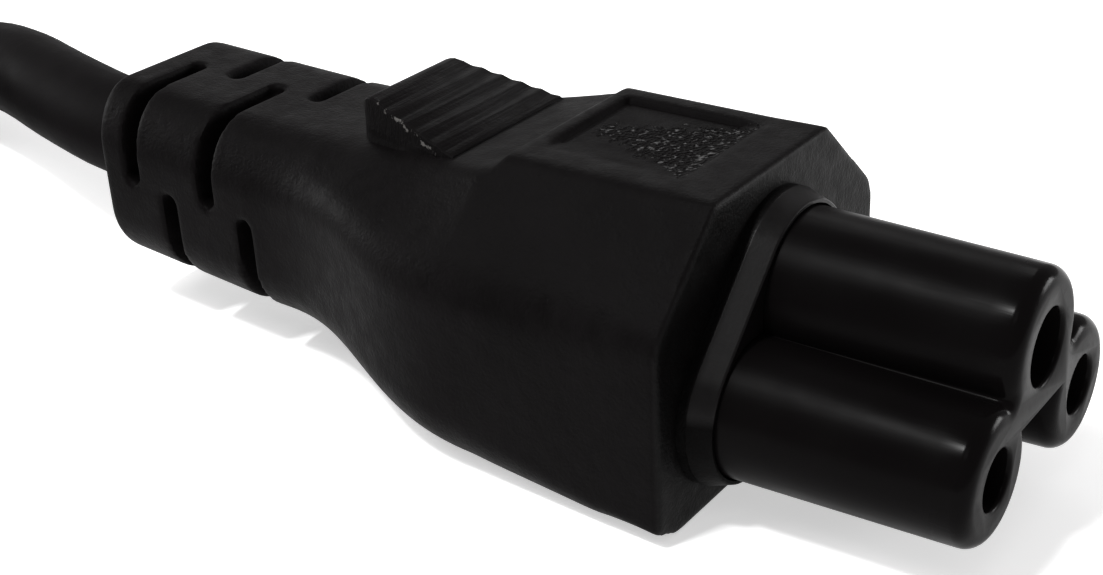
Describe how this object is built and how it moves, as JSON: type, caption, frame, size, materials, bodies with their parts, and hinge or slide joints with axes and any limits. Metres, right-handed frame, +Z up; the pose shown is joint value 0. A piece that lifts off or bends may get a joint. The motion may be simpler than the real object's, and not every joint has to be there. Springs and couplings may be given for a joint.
{
  "type": "cloverleaf power cord",
  "caption": "Black moulded cloverleaf mains lead: lobed nose with round bores, flared body with finger grip and slotted strain relief, cord in a tied coil, and a wall plug with a ground pin",
  "frame": {"origin": "middle of the connector's underside, on the level it lies on; the cord, coil and plug are left out of that middle", "axes": "+X out of the nose towards the inlet, +Y to the connector's left seen from behind, +Z up from the flat underside"},
  "size_m": [0.1612, 0.0963, 0.0245],
  "materials": {
    "overmould_pvc": "soft black PVC moulded over the connector, fine spark-eroded grain, slightly worn on its edges",
    "insert_plastic": "hard black plastic nose, smooth and fairly glossy",
    "contact_brass": "stamped brass sleeve contacts, dull inside the bores",
    "cord_jacket": "black PVC cord jacket, satin, faint drawing lines",
    "tie_plastic": "black plastic-coated tie round the coil",
    "plug_pvc": "soft black PVC moulded over the plug",
    "blade_nickel": "nickel-plated brass blades and pin"
  },
  "bodies": {
    "root": {"connector_overmould": "overmould_pvc", "socket_insert": "insert_plastic", "contact_earth": "contact_brass", "contact_line": "contact_brass", "contact_neutral": "contact_brass", "cord_lead": "cord_jacket", "cord_coil": "cord_jacket", "cord_tail": "cord_jacket", "coil_tie": "tie_plastic", "plug_overmould": "plug_pvc", "blade_line": "blade_nickel", "blade_neutral": "blade_nickel", "ground_pin": "blade_nickel"}
  },
  "joints": []
}
